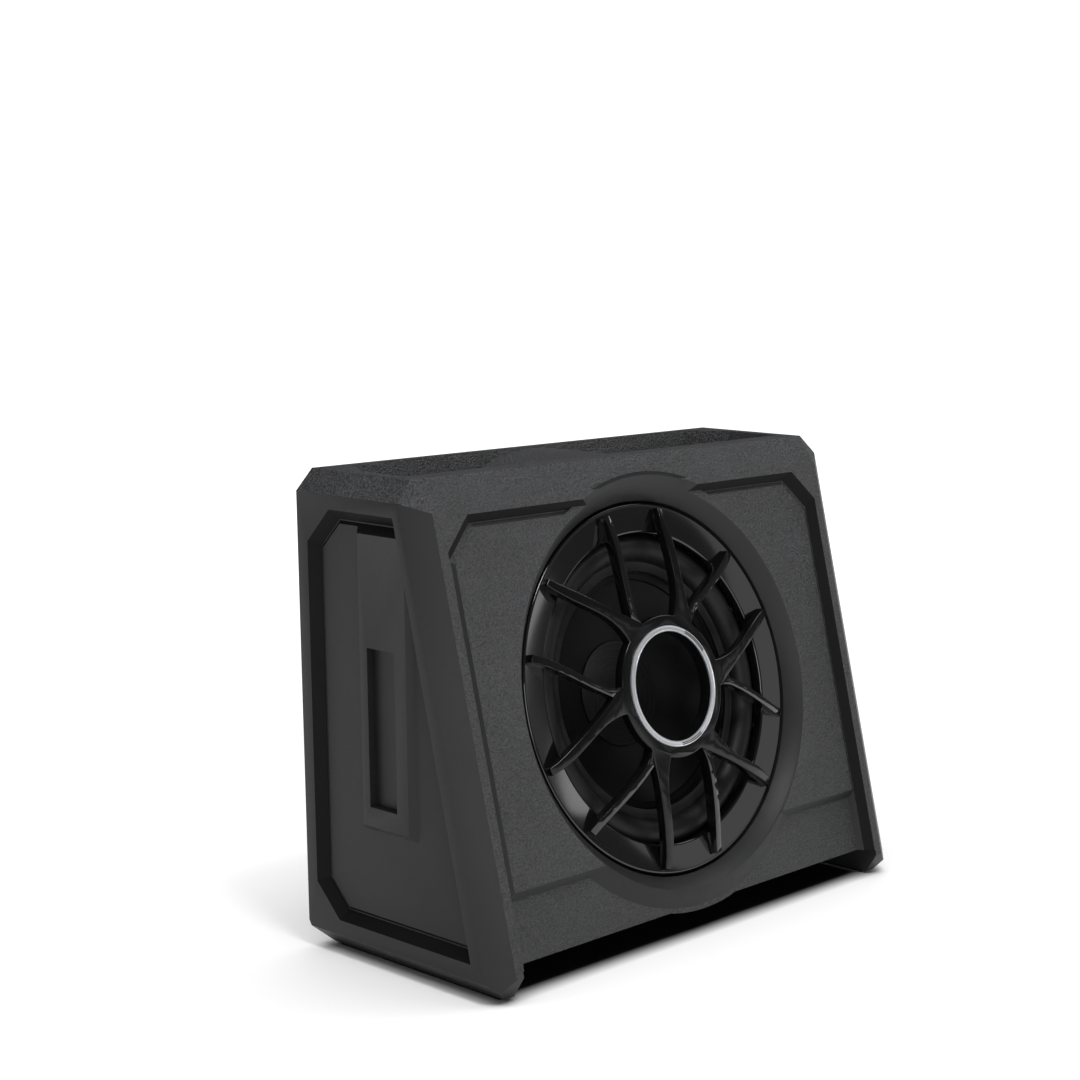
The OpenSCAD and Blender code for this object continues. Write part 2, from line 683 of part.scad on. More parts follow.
module amp_plate() color("#3c3e41") difference() {
    translate([-amp_w / 2, plate_y, amp_z - amp_h / 2]) cube([amp_w, 3, amp_h]);
    for (p = amp_screw_points) on_plate(p[0], p[1], -5) cylinder(r = 1.8, h = 8, $fn = SMALL);
    for (x = knob_x) on_plate(x, knob_z, -5) cylinder(r = 3.5, h = 8, $fn = SMALL);
    for (x = rca_x) on_plate(x, lower_z, -5) cylinder(r = 4.6, h = 8, $fn = SMALL);
    on_plate(led_x, knob_z, -5) cylinder(r = 2.1, h = 8, $fn = SMALL);
    on_plate(switch_x, knob_z, -5) translate([-5, -2.2, 0]) cube([10, 4.4, 8]);
}
module amp_gasket() color("#111111") difference() {
    translate([-amp_w / 2, plate_y - 1.2, amp_z - amp_h / 2]) cube([amp_w, 1.2, amp_h]);
    translate([-amp_w / 2 + bay_rim, plate_y - 2, amp_z - amp_h / 2 + bay_rim])
        cube([amp_w - 2 * bay_rim, 4, amp_h - 2 * bay_rim]);
    for (p = amp_screw_points) on_plate(p[0], p[1], -8) cylinder(r = 1.8, h = 10, $fn = SMALL);
}
module amp_screws() color("#9a9c9f") for (p = amp_screw_points)
    on_plate(p[0], p[1]) pan_screw(1.5, 8, 3.2, 1.8);

module heatsink() color("#2f3134") {
    translate([fin_x, plate_face, amp_z - 32]) cube([44, 3, 58]);
    for (i = [0 : 7]) translate([fin_x + i * 6, plate_face + 2.9, amp_z - 32]) cube([2, 13, 58]);
}

board_y = plate_y - 14;
module circuit_board() color("#1f5a35") difference() {
    translate([-130, board_y, amp_z - 28]) cube([260, 1.6, 56]);
    for (x = [-124, 124], z = [amp_z - 22, amp_z + 22]) translate([x, board_y - 1, z])
        rotate([-90, 0, 0]) cylinder(r = 1.6, h = 4, $fn = SMALL);
}
module board_standoffs() color("#b9a066") for (x = [-124, 124], z = [amp_z - 22, amp_z + 22])
    translate([x, board_y + 1.6, z]) rotate([-90, 0, 0]) difference() {
        cylinder(r = 3, h = plate_y - board_y - 1.6, $fn = SMALL);
        translate([0, 0, -1]) cylinder(r = 1.5, h = 8, $fn = SMALL);
    }
module toroid() color("#b5642b") translate([70, board_y - 14, amp_z]) rotate([-90, 0, 0])
    rotate_extrude($fn = ROUND) translate([14, 7]) circle(r = 6.98, $fn = ROUND);
module filter_capacitors() color("#23262c") for (x = [0, 22], z = [amp_z - 11, amp_z + 11])
    translate([x, board_y, z]) rotate([90, 0, 0]) cylinder(r = 8, h = 14, $fn = ROUND);
module power_transistors() color("#18181a") for (i = [0 : 3])
    translate([-100 + i * 20, plate_y - 5, amp_z - 21]) cube([12, 5, 16]);
module transistor_clamp() color("#a5a8ab") translate([-104, plate_y - 7, amp_z - 16]) cube([80, 2, 6]);

module power_block() color("#1a1a1c") difference() {
    on_plate(block_x, lower_z - 4) translate([-27, -11, 0]) cube([54, 22, 13]);
    for (i = [-1.5 : 1.5]) {
        on_plate(block_x + i * 12, lower_z - 4, 4) cylinder(r = 3.2, h = 12, $fn = SMALL);
        translate([block_x + i * 12, plate_face + 7, lower_z - 20]) cylinder(r = 3, h = 12, $fn = SMALL);
    }
}
module power_block_screws() color("#c9b26a") for (i = [-1.5 : 1.5])
    on_plate(block_x + i * 12, lower_z - 4, 4) difference() {
        cylinder(r = 3, h = 6, $fn = SMALL);
        translate([-2.4, -0.5, 4.8]) cube([4.8, 1, 2]);
    }
module fuse_holder() color("#202022") difference() {
    on_plate(fuse_x, amp_z) translate([-9, -24, 0]) cube([18, 48, 9]);
    for (z = [-12, 12]) on_plate(fuse_x, amp_z + z, 3) translate([-3, -9.8, 0]) cube([6, 19.6, 9]);
}
module fuses() color("#d8842a") for (z = [-12, 12]) on_plate(fuse_x, amp_z + z, 3) {
    translate([-2.2, -9, 0]) cube([4.4, 18, 8]);
    translate([-2.7, -9.4, 6.2]) cube([5.4, 18.8, 4]);
}

module rca_jacks() color("#d2b15c") for (x = rca_x) on_plate(x, lower_z, -3) difference() {
    union() {
        cylinder(r = 4.5, h = 16, $fn = ROUND);
        translate([0, 0, 3]) cylinder(r = 6.2, h = 2, $fn = ROUND);
    }
    translate([0, 0, 4]) cylinder(r = 3.6, h = 13, $fn = ROUND);
}
module rca_insulators() color("#e8e6e0") for (x = rca_x) on_plate(x, lower_z, 1) difference() {
    cylinder(r = 3.55, h = 9, $fn = ROUND);
    translate([0, 0, 2]) cylinder(r = 1.7, h = 9, $fn = ROUND);
}
module speaker_level_socket() color("#dcdbd5") on_plate(socket_x, lower_z) difference() {
    translate([-9, -6, 0]) cube([18, 12, 9]);
    translate([-7.6, -4.6, 2]) cube([15.2, 9.2, 8]);
}
module remote_level_jack() color("#19191b") on_plate(jack_x, lower_z) difference() {
    translate([-7, -7, 0]) cube([14, 14, 9]);
    translate([-5, -4.5, 2]) cube([10, 8, 8]);
}
module power_led() color("#5bd06a") on_plate(led_x, knob_z, -3) {
    cylinder(r = 2, h = 4, $fn = SMALL);
    translate([0, 0, 4]) sphere(r = 1.9, $fn = SMALL);
}

spindle_r = 1.5;
module knob_pots() color("#6f7276") for (x = knob_x) on_plate(x, knob_z, -3) difference() {
    union() {
        translate([-5, -5, -6]) cube([10, 10, 5.9]);
        translate([0, 0, -0.2]) cylinder(r = 3.2, h = 3.1, $fn = SMALL);
    }
    translate([0, 0, -5]) cylinder(r = spindle_r + 0.06, h = 10, $fn = ROUND);
}
// Fluted knob with a pointer rib.
module knob(x) on_plate(x, knob_z, 0.4) difference() {
    union() {
        translate([0, 0, -7.6]) cylinder(r = spindle_r, h = 8, $fn = ROUND);
        cylinder(r = 6.2, h = 1.4, $fn = ROUND);
        cylinder(r = 5.2, h = 10, $fn = ROUND);
        around(12, 5.1, 15) translate([-0.5, -0.7, 1.2]) cube([1, 1.4, 8.4]);
    }
    translate([-0.6, 1.4, 9.2]) cube([1.2, 4.4, 2]);
}
module gain_knob() color("#2c2c2e") knob(knob_x[0]);
module crossover_knob() color("#2c2c2e") knob(knob_x[1]);
module bass_boost_knob() color("#2c2c2e") knob(knob_x[2]);

switch_travel = 4;
module switch_body() color("#77797c") on_plate(switch_x, knob_z, -3) difference() {
    translate([-7.5, -3.5, -5]) cube([15, 7, 4.9]);
    translate([-4.8, -1.8, -3]) cube([9.6, 3.6, 5]);
}
module phase_switch() color("#151517") on_plate(switch_x - switch_travel / 2, knob_z, -5.6) {
    translate([-1.6, -1.3, 0]) cube([3.2, 2.6, 9]);
    translate([-2, -1.3, 0]) cube([4, 2.6, 2]);
}

enclosure();
rear_panel();
rear_panel_gasket();
rear_panel_screws();
sole_pads();
mounting_inserts();
acoustic_wadding();
driver_gasket();
basket();
driver_screws();
top_plate();
magnet();
pole_plate();
magnet_boot();
coil_former();
voice_coil();
spider();
cone();
surround();
dust_cap();
driver_terminals();
grille_ring();
grille_star();
grille_blades();
hub_trim();
grille_clips();
amp_plate();
amp_gasket();
amp_screws();
heatsink();
circuit_board();
board_standoffs();
toroid();
filter_capacitors();
power_transistors();
transistor_clamp();
power_block();
power_block_screws();
fuse_holder();
fuses();
rca_jacks();
rca_insulators();
speaker_level_socket();
remote_level_jack();
power_led();
knob_pots();
gain_knob();
crossover_knob();
bass_boost_knob();
switch_body();
phase_switch();
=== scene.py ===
"""Looks of the powered car subwoofer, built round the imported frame."""
import json
import math

import bmesh
import bpy
from mathutils import Matrix, Vector


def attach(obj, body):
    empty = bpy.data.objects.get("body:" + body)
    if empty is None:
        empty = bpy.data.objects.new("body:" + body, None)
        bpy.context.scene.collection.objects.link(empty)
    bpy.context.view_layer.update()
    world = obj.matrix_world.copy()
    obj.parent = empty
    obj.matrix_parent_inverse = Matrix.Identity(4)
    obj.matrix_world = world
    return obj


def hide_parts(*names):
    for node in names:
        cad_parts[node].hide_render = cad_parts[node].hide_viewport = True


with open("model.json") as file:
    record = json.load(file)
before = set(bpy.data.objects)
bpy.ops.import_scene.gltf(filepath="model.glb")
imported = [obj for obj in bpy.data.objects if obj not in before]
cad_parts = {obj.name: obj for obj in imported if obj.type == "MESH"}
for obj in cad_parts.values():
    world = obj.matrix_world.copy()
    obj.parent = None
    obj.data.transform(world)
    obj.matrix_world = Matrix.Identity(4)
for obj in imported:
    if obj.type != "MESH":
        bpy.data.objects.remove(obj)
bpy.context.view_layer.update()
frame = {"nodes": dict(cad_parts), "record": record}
NODES = frame["nodes"]
BODY_OF = {node: body for body, nodes in frame["record"]["behaviour"]["bodies"].items() for node in nodes}
SLOT_OF = {row["node"]: row["material_slot"] for row in frame["record"]["subparts"]}
MM = 0.001

# Woofer frame, in millimetres: its origin is where the axis meets the front rim plane, z points out of
# the front, and y points up along the leaning front.
FRONT_RUN = 78.0
FRONT_RISE = 311.5
TOE_Y = -100.0
TOE_Z = 18.0
LEAN = math.atan2(FRONT_RUN, FRONT_RISE)
RIM_Y = TOE_Y - TOE_Z * math.tan(LEAN)
AXIS_Z = 183.7
AXIS_Y = RIM_Y + AXIS_Z * math.tan(LEAN)
AXIS = Matrix(((1, 0, 0, 0), (0, math.sin(LEAN), -math.cos(LEAN), AXIS_Y * MM),
               (0, math.cos(LEAN), math.sin(LEAN), AXIS_Z * MM), (0, 0, 0, 1)))
TO_AXIS = AXIS.inverted()


# ---------------------------------------------------------------- camera
def place_camera():
    """The photograph's camera, as fitted to the straight edges of the body."""
    data = bpy.data.cameras.new("camera")
    data.lens = 71.14
    data.sensor_width = 36.0
    data.shift_x = -0.0463
    data.shift_y = 0.162
    data.clip_end = 60.0
    cam = bpy.data.objects.new("camera", data)
    cam.location = (-1.1605, -1.0832, 0.5186)
    cam.rotation_euler = Vector((0.7031, 0.6745, -0.2250)).to_track_quat("-Z", "Y").to_euler()
    bpy.context.scene.collection.objects.link(cam)
    bpy.context.scene.camera = cam


# ---------------------------------------------------------------- materials
METAL_VARY = 0.08
CLOTH_VARY = 0.25
COAT_ROUGH = 0.03
# Sockets of a colour Mix node, whose names repeat.
MIX_LOW = 6
MIX_HIGH = 7
MIX_RESULT = 2


class Graph:
    """Short notation for a material's nodes. An input is a socket to link or a value to set."""

    SOCKETS = {"color": "Base Color", "rough": "Roughness", "metal": "Metallic", "normal": "Normal",
               "spec": "Specular IOR Level", "coat": "Coat Weight", "coat_rough": "Coat Roughness",
               "sheen": "Sheen Weight", "glow_color": "Emission Color", "glow": "Emission Strength"}

    def __init__(self, name):
        self.mat = bpy.data.materials.new(name)
        self.mat.use_nodes = True
        self.tree = self.mat.node_tree
        self.bsdf = self.tree.nodes["Principled BSDF"]
        self.coords = self.add("ShaderNodeTexCoord").outputs["Object"]

    def feed(self, socket, value):
        if isinstance(value, bpy.types.NodeSocket):
            self.tree.links.new(value, socket)
        else:
            socket.default_value = value

    def add(self, kind, inputs=(), **props):
        node = self.tree.nodes.new(kind)
        for key, value in props.items():
            setattr(node, key, value)
        for key, value in dict(inputs).items():
            self.feed(node.inputs[key], value)
        return node

    def math(self, operation, *values):
        return self.add("ShaderNodeMath", dict(enumerate(values)), operation=operation).outputs[0]

    def vector(self, operation, *values):
        return self.add("ShaderNodeVectorMath", dict(enumerate(values)), operation=operation).outputs

    def scaled(self, scale):
        return self.add("ShaderNodeMapping", {"Vector": self.coords, "Scale": scale}).outputs["Vector"]

    def noise(self, scale, detail=2.0, rough=0.5, vector=None):
        return self.add("ShaderNodeTexNoise", {
            "Vector": vector or self.coords, "Scale": scale, "Detail": detail, "Roughness": rough,
        }).outputs["Fac"]

    def ramp(self, value, low, high, at_low, at_high):
        return self.add("ShaderNodeMapRange", {
            "Value": value, "From Min": low, "From Max": high, "To Min": at_low, "To Max": at_high,
        }).outputs["Result"]

    def mix(self, share, low, high):
        """From colour low to colour high. Each is a socket or three numbers."""
        ends = [c if isinstance(c, bpy.types.NodeSocket) else (*c, 1.0) for c in (low, high)]
        inputs = {"Factor": share, MIX_LOW: ends[0], MIX_HIGH: ends[1]}
        return self.add("ShaderNodeMix", inputs, data_type="RGBA").outputs[MIX_RESULT]

    def bump(self, height, strength, distance):
        inputs = {"Height": height, "Strength": strength, "Distance": distance}
        return self.add("ShaderNodeBump", inputs).outputs["Normal"]

    def set(self, **values):
        for key, value in values.items():
            self.feed(self.bsdf.inputs[self.SOCKETS[key]], value)
        return self.mat


def shade(color, factor):
    return tuple(min(c * factor, 1.0) for c in color)


def plastic(name, base, rough, grain=0.0, grain_mm=0.55, spec=0.5, vary=0.12, coat=0.0, depth=0.12,
            fleck=0.0, wave=0.05):
    """Moulded plastic with a slight drift of tone.

    Where grain is above 0 it is the strength of a spark-eroded grain of pitch grain_mm and the given
    depth in millimetres. Elsewhere wave is the strength of a faint unevenness. fleck weighs light
    specks against the drift of tone.
    """
    g = Graph(name)
    fine = g.noise(1.0 / (grain_mm * MM), 2.0, 0.6)
    cloud = g.ramp(g.noise(14.0, 3.0), 0.3, 0.7, 0.0, 1.0)
    if fleck > 0:
        speck = g.ramp(fine, 0.35, 0.65, 0.0, 1.0)
        cloud = g.ramp(g.math("MULTIPLY_ADD", speck, fleck, cloud), 0.0, 1.0 + fleck, 0.0, 1.0)
    values = dict(color=g.mix(cloud, shade(base, 1 - vary), shade(base, 1 + vary)),
                  rough=g.ramp(fine, 0.3, 0.7, rough * 0.85, rough * 1.15), spec=spec)
    if grain > 0:
        values["normal"] = g.bump(fine, grain, depth * MM)
    else:
        values["normal"] = g.bump(g.noise(220.0, 2.0), wave, 0.05 * MM)
    if coat > 0:
        values.update(coat=coat, coat_rough=COAT_ROUGH)
    return g.set(**values)


def metal(name, base, rough, brushed=None):
    """Bare metal. brushed is the noise scale along each axis where the metal has a brushed finish."""
    g = Graph(name)
    vector = g.scaled(brushed) if brushed else g.coords
    streak = g.noise(1.0 if brushed else 900.0, 3.0, 0.6, vector)
    color = g.mix(g.ramp(streak, 0.3, 0.7, 0.0, 1.0), shade(base, 1 - METAL_VARY), base)
    return g.set(color=color, metal=1.0, rough=g.ramp(streak, 0.3, 0.7, rough * 0.8, rough * 1.25),
                 normal=g.bump(streak, 0.12, 0.03 * MM))


def cloth(name, base, scale=900.0):
    """Cloth of two crossed sets of threads under a light fuzz."""
    g = Graph(name)
    threads = [g.add("ShaderNodeTexWave", {"Vector": g.coords, "Scale": scale / 3},
                     bands_direction=way).outputs["Fac"] for way in ("X", "Z")]
    weave = g.math("MULTIPLY", *threads)
    fuzz = g.noise(scale, 3.0, 0.7)
    color = g.mix(fuzz, shade(base, 1 - CLOTH_VARY), shade(base, 1 + CLOTH_VARY))
    return g.set(color=color, rough=0.9, sheen=0.2, normal=g.bump(weave, 0.4, 0.2 * MM))


MATS = {
    "shell_paint": plastic("shell_satin", (0.0105, 0.0107, 0.0113), 0.46, 0.5, 0.8, spec=0.31, depth=0.05),
    "shell_grain": plastic("shell_grain", (0.025, 0.0255, 0.027), 0.5, 1.0, 1.5, spec=0.5, vary=0.8,
                           depth=1.6, fleck=6.0),
    "panel_black": plastic("panel_black", (0.022, 0.022, 0.0235), 0.55, 0.5, 0.6),
    "rubber_black": plastic("rubber_black", (0.004, 0.004, 0.004), 0.5, 0.25, 0.5, spec=0.3),
    "gloss_black": plastic("gloss_black", (0.003, 0.003, 0.0033), 0.045, spec=0.5, coat=0.3, wave=0.01),
    "satin_black": plastic("satin_black", (0.003, 0.003, 0.0033), 0.18, spec=0.3, wave=0.01),
    "silver_trim": metal("silver_trim", (0.62, 0.63, 0.65), 0.22),
    "cone_paper": plastic("cone_paper", (0.0012, 0.0012, 0.0013), 0.42, 0.15, 0.9, spec=0.12),
    "basket_paint": plastic("basket_paint", (0.02, 0.02, 0.022), 0.42, 0.2, 0.5),
    "zinc_steel": metal("zinc_steel", (0.50, 0.50, 0.51), 0.34),
    "black_steel": plastic("black_steel", (0.02, 0.02, 0.02), 0.35, 0.1, 0.4),
    "ferrite": plastic("ferrite", (0.025, 0.025, 0.027), 0.6, 0.3, 0.5),
    "brass_metal": metal("brass_metal", (0.70, 0.50, 0.22), 0.28),
    "copper_wire": metal("copper_wire", (0.55, 0.24, 0.10), 0.35, (900, 900, 4000)),
    "spider_cloth": cloth("spider_cloth", (0.42, 0.27, 0.10)),
    "wadding": cloth("wadding", (0.62, 0.59, 0.52), 300.0),
    "board_green": plastic("board_green", (0.015, 0.09, 0.035), 0.35, 0.1, 1.0, vary=0.3),
    "fin_aluminium": plastic("fin_aluminium", (0.026, 0.0265, 0.028), 0.38, 0.2, 0.35),
    "clamp_aluminium": metal("clamp_aluminium", (0.55, 0.55, 0.56), 0.35, (60, 3000, 3000)),
    "white_plastic": plastic("white_plastic", (0.62, 0.61, 0.57), 0.4, 0.1, 0.5, vary=0.03),
    "fuse_orange": plastic("fuse_orange", (0.60, 0.16, 0.01), 0.15, vary=0.05),
    "led_lens": plastic("led_lens", (0.06, 0.40, 0.10), 0.12, vary=0.1),
}
# Near-black, duller plastic for the recess walls: painted shade where the walls fall in shadow.
SHELL_PAINTED_SHADE = plastic("shell_painted_shade", (0.004, 0.004, 0.0042), 0.6, 0.0, spec=0.12)


# ---------------------------------------------------------------- meshes
WELD_M = 2e-6
TURN_WELD_M = 1e-7
FLAT_DEG = 0.4
TURN_STEPS = 192


def new_piece(name, mesh, body, slot, *replaced, mat=None):
    obj = bpy.data.objects.new(name, mesh)
    bpy.context.scene.collection.objects.link(obj)
    if not mesh.materials:
        mesh.materials.append(mat or MATS[slot])
    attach(obj, body)
    if replaced:
        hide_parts(*replaced)
    return obj


def cleaned(node):
    """A welded copy of a CAD mesh with its flat faces joined up."""
    bm = bmesh.new()
    bm.from_mesh(NODES[node].data)
    bmesh.ops.remove_doubles(bm, verts=bm.verts, dist=WELD_M)
    bmesh.ops.dissolve_limit(bm, angle_limit=math.radians(FLAT_DEG), verts=bm.verts, edges=bm.edges)
    return bm


def soften(obj, width, segments, angle):
    """Rounds the sharp edges and keeps the faces between them flat."""
    for poly in obj.data.polygons:
        poly.use_smooth = True
    bevel = obj.modifiers.new("edges", "BEVEL")
    bevel.width = width * MM
    bevel.segments = segments
    bevel.limit_method = "ANGLE"
    bevel.angle_limit = math.radians(angle)
    bevel.harden_normals = True
    bevel.use_clamp_overlap = True


def refine(node, width, slot=None, angle=28.0, segments=2, name=None):
    """The CAD node again, with its edges rounded by width millimetres. It replaces the CAD mesh."""
    name = name or node + "_skin"
    bm = cleaned(node)
    mesh = bpy.data.meshes.new(name)
    bm.to_mesh(mesh)
    bm.free()
    obj = new_piece(name, mesh, BODY_OF[node], slot or SLOT_OF[node], node)
    soften(obj, width, segments, angle)
    return obj


def turned(name, outline, body, slot, *replaced, mat=None, smooth=30.0):
    """A piece turned round the woofer axis from a closed outline of (radius, height) in millimetres."""
    verts = []
    faces = []
    count = len(outline)
    for step in range(TURN_STEPS):
        turn = 2 * math.pi * step / TURN_STEPS
        here = step * count
        ahead = (step + 1) % TURN_STEPS * count
        for i, (r, z) in enumerate(outline):
            verts.append(AXIS @ Vector((r * math.cos(turn) * MM, r * math.sin(turn) * MM, z * MM)))
            j = (i + 1) % count
            faces.append((here + i, ahead + i, ahead + j, here + j))
    mesh = bpy.data.meshes.new(name)
    mesh.from_pydata(verts, [], faces)
    bm = bmesh.new()
    bm.from_mesh(mesh)
    bmesh.ops.remove_doubles(bm, verts=bm.verts, dist=TURN_WELD_M)
    bmesh.ops.recalc_face_normals(bm, faces=bm.faces)
    bm.to_mesh(mesh)
    bm.free()
    for poly in mesh.polygons:
        poly.use_smooth = True
    mesh.set_sharp_from_angle(angle=math.radians(smooth))
    return new_piece(name, mesh, body, slot, *replaced, mat=mat)


# ---------------------------------------------------------------- enclosure
# Limits that part the enclosure's tones. Lengths are in metres: a depth is measured along the woofer
# axis from the front rim plane, a radius round that axis, STEP_FOOT up the leaning front from that axis,
# and the rest in the part's own frame. A "facing" limit is the part of a face's normal along one
# direction.
# The third material is painted shade on the recess walls.
SATIN, GRAIN, RECESS_SHADE = range(3)
FRONT_FACING = 0.9
FRONT_DEPTH = -0.012
FRONT_HALF_W = 0.207
POD_FOOT_R = 0.167
STEP_DEPTHS = (-0.0115, -0.0003)
STEP_HALF_W = 0.1998
STEP_R = 0.168
STEP_TOP_Z = 0.329
STEP_FOOT = -0.10
STEP_RIGHT = 0.18
SIDE_DEPTH = -0.014
SIDE_X = (0.2165, 0.2245)
SIDE_Z = (0.0268, 0.3252)
SIDE_FACING = 0.93
PLATEAU_Y = (-0.0165, 0.0425)
PLATEAU_Z = (0.099, 0.269)
HEADER_Z = 0.330
HEADER_FACING = 0.3
POD_RIM_R = 0.1607
TRAY_HALF_W = 0.2005
TRAY_FRONT_Y = 0.012
TRAY_Z = (0.334, 0.3497)
TRAY_WALL_FACING = 0.6


def within(value, span):
    return span[0] < value < span[1]


def shell_tone(mesh, poly):
    """Which of the enclosure's three materials one of its faces takes; the third is painted shade for the
    recess walls.
    """
    place = poly.center
    facing = poly.normal
    local = TO_AXIS @ place
    outward = (TO_AXIS.to_3x3() @ facing).z
    corners = [TO_AXIS @ mesh.vertices[i].co for i in poly.vertices]
    radius = max(math.hypot(corner.x, corner.y) for corner in corners)
    on_step = (within(local.z, STEP_DEPTHS) and abs(local.x) < STEP_HALF_W and radius > STEP_R
               and place.z < STEP_TOP_Z and local.y > STEP_FOOT)
    front_wall = on_step and outward < FRONT_FACING and (facing.z < 0.0 or local.x > STEP_RIGHT)
    on_plateau = within(place.z, PLATEAU_Z) and within(place.y, PLATEAU_Y)
    side_wall = (local.z < SIDE_DEPTH and within(abs(place.x), SIDE_X) and within(place.z, SIDE_Z)
                 and abs(facing.x) < SIDE_FACING and not on_plateau)
    # Recess walls on the front and sides take the painted shade.
    if front_wall or side_wall:
        return RECESS_SHADE
    front = (outward > FRONT_FACING and local.z > FRONT_DEPTH and abs(local.x) < FRONT_HALF_W
             and radius > POD_FOOT_R)
    top = place.z > HEADER_Z and facing.z > HEADER_FACING and (radius > POD_RIM_R or place.y > 0)
    tray_wall = (within(place.z, TRAY_Z) and abs(facing.z) < TRAY_WALL_FACING
                 and abs(place.x) < TRAY_HALF_W and place.y > TRAY_FRONT_Y)
    return GRAIN if front or top or tray_wall else SATIN


def enclosure():
    """Satin on the sides and pod, grain on the front, header and tray, and painted shade on the recess
    walls.
    """
    mesh = refine("enclosure", 0.8, "shell_paint", angle=20.0, segments=3, name="enclosure_shell").data
    mesh.materials.clear()
    for mat in (MATS["shell_paint"], MATS["shell_grain"], SHELL_PAINTED_SHADE):
        mesh.materials.append(mat)
    for poly in mesh.polygons:
        poly.material_index = shell_tone(mesh, poly)


# ---------------------------------------------------------------- grille
BEZEL_OUT = 139.2
BEZEL_LIP = 136.2
BEZEL_IN = 117.0
BEZEL_BACK = -39.9
BEZEL_UNDER = -20.6
BEZEL_INNER_BACK = -25.5
HUB_IN = 41.0
HUB_OUT = 45.2
HUB_BASE = -3.2
# The doubled arcs on the hub ring: radii and half width of the lines in metres, angles in radians.
ARC_MIDDLES = (0.78, -1.35)
ARC_HALF_TURN = 0.27
ARC_RADII = (0.0427, 0.0440)
ARC_HALF_W = 0.0004


def grille():
    refine("grille_star", 1.1, "satin_black", angle=26.0, segments=3, name="grille_spokes")
    refine("grille_blades", 0.6, "gloss_black", angle=26.0, name="grille_vanes")
    # A point beside each end of the sloping band keeps its shading flat.
    outer_edge = [(BEZEL_OUT, -18.0), (139.0, -17.2), (138.6, -16.6), (138.0, -16.3), (137.2, -16.25)]
    band = [(136.8, -16.29), (118.8, -18.21)]
    inner_edge = [(118.4, -18.25), (117.6, -18.45), (117.1, -18.9), (BEZEL_IN, -19.4)]
    back = [(BEZEL_IN, BEZEL_INNER_BACK), (119.5, BEZEL_INNER_BACK), (119.5, BEZEL_UNDER),
            (BEZEL_LIP, BEZEL_UNDER), (BEZEL_LIP, BEZEL_BACK), (BEZEL_OUT, BEZEL_BACK)]
    turned("grille_bezel", outer_edge + band + inner_edge + back, "housing", "gloss_black", "grille_ring",
           smooth=35)
    inner_bead = [(HUB_IN, HUB_BASE), (HUB_IN, -2.1), (41.3, -1.7), (41.8, -1.6), (42.0, -1.9)]
    channel = [(42.2, -2.0), (44.0, -2.0)]
    outer_bead = [(44.3, -1.8), (44.6, -1.6), (45.0, -1.7), (HUB_OUT, -2.0), (HUB_OUT, HUB_BASE)]
    turned("hub_ring", inner_bead + channel + outer_bead, "housing", "silver_trim", "hub_trim",
           mat=hub_silver())


def axis_plane(g):
    """The two coordinates across the woofer axis, in metres."""
    moved = g.vector("ADD", g.coords, tuple(-c for c in AXIS.translation))[0]
    return [g.vector("DOT_PRODUCT", moved, tuple(AXIS.col[i])[:3])["Value"] for i in (0, 1)]


def hub_silver():
    """Bright ring with two doubled arcs engraved in it."""
    g = Graph("hub_silver")
    x, y = axis_plane(g)
    angle = g.math("ARCTAN2", y, x)
    radius = g.math("POWER", g.math("MULTIPLY_ADD", y, y, g.math("MULTIPLY", x, x)), 0.5)
    marks = 0.0
    for middle in ARC_MIDDLES:
        for line in ARC_RADII:
            on_line = g.math("COMPARE", radius, line, ARC_HALF_W)
            on_arc = g.math("COMPARE", angle, middle, ARC_HALF_TURN)
            marks = g.math("MAXIMUM", g.math("MULTIPLY", on_line, on_arc), marks)
    streak = g.noise(2400.0, 2.0)
    color = g.mix(marks, (0.50, 0.51, 0.53), (0.02, 0.02, 0.02))
    return g.set(color=color, metal=0.6, rough=g.ramp(streak, 0.3, 0.7, 0.26, 0.38))


# ---------------------------------------------------------------- woofer front
# Radii and heights in the woofer frame, in millimetres. CONE_STRAIGHT is the share of the cone's rise
# that is a straight slope.
CONE_IN = 25.05
CONE_OUT = 96
CONE_LOW = -68.0
CONE_RISE = 33.0
CONE_STRAIGHT = 0.85
CONE_T = 1.6
BEAD_R = 84
ROLL_MID = 107.5
ROLL_R = 10.5
ROLL_T = 1.1
ROLL_BASE = -34.2
ROLL_STEP_DEG = 6
ROLL_FOOT = -33.35
EDGE_OUT = 121
CAP_R = 40
CAP_DEPTH = 5
CAP_T = 0.9
CAP_LIFT = 1.65
CAP_STEP = 4


def cone_rise(r):
    """Height of the cone's underside at radius r."""
    t = (r - CONE_IN) / (CONE_OUT - CONE_IN)
    return CONE_LOW + CONE_RISE * (CONE_STRAIGHT + (1 - CONE_STRAIGHT) * t) * t


def cone_top(r):
    return cone_rise(r) + CONE_T


def cone_face():
    """The cone, with the bead of glue where the surround starts."""
    top = [(r, cone_top(r)) for r in (CONE_IN, 30, 36, 44, 52, 60, 68, 76, 82, BEAD_R)]
    foot = cone_top(BEAD_R)
    bead = [(84.6, foot + 1.5), (88.6, foot + 2.6), (89.2, foot + 1.9), (90.2, foot + 2.2)]
    rim = [(r, cone_top(r)) for r in (91, CONE_OUT)]
    under = [(r, cone_rise(r)) for r in (CONE_OUT, BEAD_R, 68, 52, 36, CONE_IN)]
    turned("cone_face", top + bead + rim + under, "cone_assembly", "cone_paper", "cone", smooth=40)


